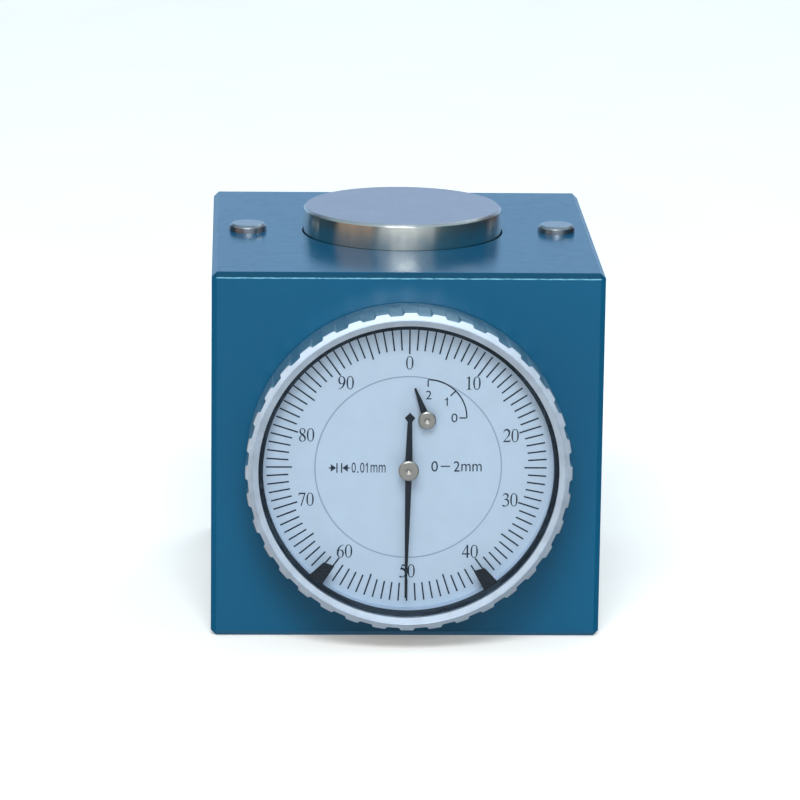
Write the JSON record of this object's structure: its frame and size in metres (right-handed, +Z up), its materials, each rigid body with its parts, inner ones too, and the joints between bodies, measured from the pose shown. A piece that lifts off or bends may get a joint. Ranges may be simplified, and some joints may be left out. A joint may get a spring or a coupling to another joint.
{
  "type": "dial zero setter",
  "caption": "Magnetic setting block with a spring-loaded round anvil on top and a lobed dial in front that reads the anvil's height above the base.",
  "frame": {"origin": "centre of the base's underside", "axes": "+Z up through the anvil, the dial faces -Y, +X to the right of the dial"},
  "size_m": [0.0512, 0.0626, 0.0525],
  "materials": {
    "block_paint": "blue enamel, semi-gloss",
    "anvil_steel": "ground and lapped steel",
    "pin_steel": "ground steel",
    "steel": "machined steel",
    "screw_steel": "plated steel",
    "magnet": "nickel plated",
    "spring_steel": "spring steel",
    "bronze": "turned bronze",
    "brass": "turned and cut brass",
    "bezel_aluminium": "satin",
    "case_aluminium": "turned",
    "seal_black": "matt black",
    "crystal": "clear acrylic",
    "dial_white": "printed satin white",
    "hand_black": "satin black",
    "hub_nickel": "satin nickel"
  },
  "bodies": {
    "housing": {"block_body": "block_paint", "reference_pins": "pin_steel", "guide_bush": "bronze", "anti_rotation_pin": "steel", "base_plate": "steel", "base_plate_screws": "screw_steel", "magnets": "magnet", "spring_seat": "steel", "return_spring": "spring_steel", "dial_case": "case_aluminium", "case_screws": "screw_steel", "movement_back_plate": "brass", "movement_front_plate": "brass", "movement_pillars": "brass", "movement_screws": "screw_steel", "arbor_bushings": "bronze", "dial_carrier": "case_aluminium", "dial_posts": "brass", "inner_dial": "dial_white", "bezel_spring": "spring_steel", "hairspring": "spring_steel", "hairspring_stud": "brass"},
    "anvil": {"anvil_disc": "anvil_steel", "plunger_stem": "steel", "stop_collar": "spring_steel", "rack_arm": "steel", "arm_screw": "screw_steel", "rack_bar": "steel", "rack_screws": "screw_steel"},
    "small_hand": {"rack_pinion_arbor": "steel", "drive_gear": "brass", "small_pointer": "hand_black", "small_pointer_hub": "hub_nickel"},
    "main_hand": {"centre_pinion_arbor": "steel", "main_pointer": "hand_black", "main_pointer_hub": "hub_nickel"},
    "takeup_wheel": {"takeup_arbor": "steel", "takeup_gear": "brass"},
    "bezel_unit": {"bezel": "bezel_aluminium", "crystal_seal": "seal_black", "crystal": "crystal", "scale_ring": "dial_white", "scale_retaining_ring": "spring_steel"},
    "limit_left": {"limit_hand_left": "hand_black"},
    "limit_right": {"limit_hand_right": "hand_black"}
  },
  "joints": [
    {"name": "anvil_slide", "type": "slide", "parent": "housing", "child": "anvil", "axis": [0, 0, 1], "range_m": [-0.0028, 0], "stiffness_N_per_m": 450, "springref_m": 0.0067, "deforming": ["return_spring"]},
    {"name": "small_hand_spin", "type": "hinge", "parent": "housing", "child": "small_hand", "pos_m": [0.00234, -0.0275, 0.03074], "axis": [0, 1, 0], "range_deg": [-1, 128]},
    {"name": "main_hand_spin", "type": "hinge", "parent": "housing", "child": "main_hand", "pos_m": [0, -0.0275, 0.0242], "axis": [0, 1, 0], "range_deg": [-1010, 2]},
    {"name": "takeup_spin", "type": "hinge", "parent": "housing", "child": "takeup_wheel", "pos_m": [-0.00491, -0.0275, 0.01929], "axis": [0, 1, 0], "range_deg": [-1, 128], "deforming": ["hairspring"]},
    {"name": "bezel_turn", "type": "hinge", "parent": "housing", "child": "bezel_unit", "pos_m": [0, -0.0275, 0.0242], "axis": [0, 1, 0], "continuous": true},
    {"name": "limit_left_turn", "type": "hinge", "parent": "bezel_unit", "child": "limit_left", "pos_m": [0, -0.0275, 0.0242], "axis": [0, 1, 0], "range_deg": [-30, 130]},
    {"name": "limit_right_turn", "type": "hinge", "parent": "bezel_unit", "child": "limit_right", "pos_m": [0, -0.0275, 0.0242], "axis": [0, 1, 0], "range_deg": [-130, 27]}
  ],
  "couplings": [
    {"joint": "small_hand_spin", "follows": "anvil_slide", "rad_per_m": -785.4},
    {"joint": "main_hand_spin", "follows": "anvil_slide", "rad_per_m": 6283.2},
    {"joint": "takeup_spin", "follows": "anvil_slide", "rad_per_m": -785.4}
  ]
}
